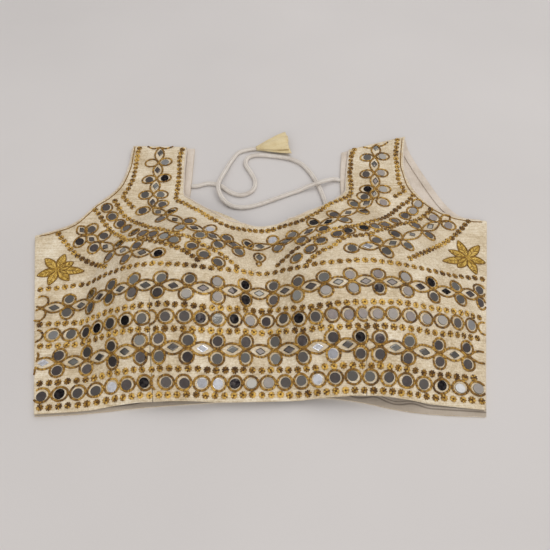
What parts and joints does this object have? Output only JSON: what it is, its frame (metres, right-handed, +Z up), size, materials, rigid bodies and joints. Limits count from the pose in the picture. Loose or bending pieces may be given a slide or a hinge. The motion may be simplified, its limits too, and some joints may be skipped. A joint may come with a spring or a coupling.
{
  "type": "blouse",
  "caption": "Sleeveless padded silk blouse with mirror and gold thread embroidery, laid flat on its back, with two tasselled neck ties.",
  "frame": {"origin": "on the resting surface, under the middle of the laid garment's outline without its ties", "axes": "+Z up out of the front, +X across the chest towards the right of the laid garment, +Y from the hem to the shoulders"},
  "size_m": [0.538, 0.3872, 0.0528],
  "materials": {
    "silk": "cream slub silk with a soft sheen",
    "lining": "matt off-white cotton lining",
    "tie_cotton": "matt off-white sewn cord",
    "tassel_silk": "pale gold silk, folded",
    "gold_thread": "gold and brown metal-wrapped embroidery thread",
    "sewn_mirror": "small round and diamond mirrors, sewn on",
    "hook_steel": "plain wire"
  },
  "bodies": {
    "root": {"front": "silk", "back_left": "silk", "back_right": "silk", "armhole_facing_left": "lining", "armhole_facing_right": "lining", "neck_facing_left": "lining", "neck_facing_right": "lining", "hook_placket": "lining", "hook_1": "hook_steel", "hook_2": "hook_steel", "hook_3": "hook_steel", "hook_4": "hook_steel", "tie_left": "tie_cotton", "tie_right": "tie_cotton", "tassel_left": "tassel_silk", "tassel_right": "tassel_silk"}
  },
  "joints": []
}
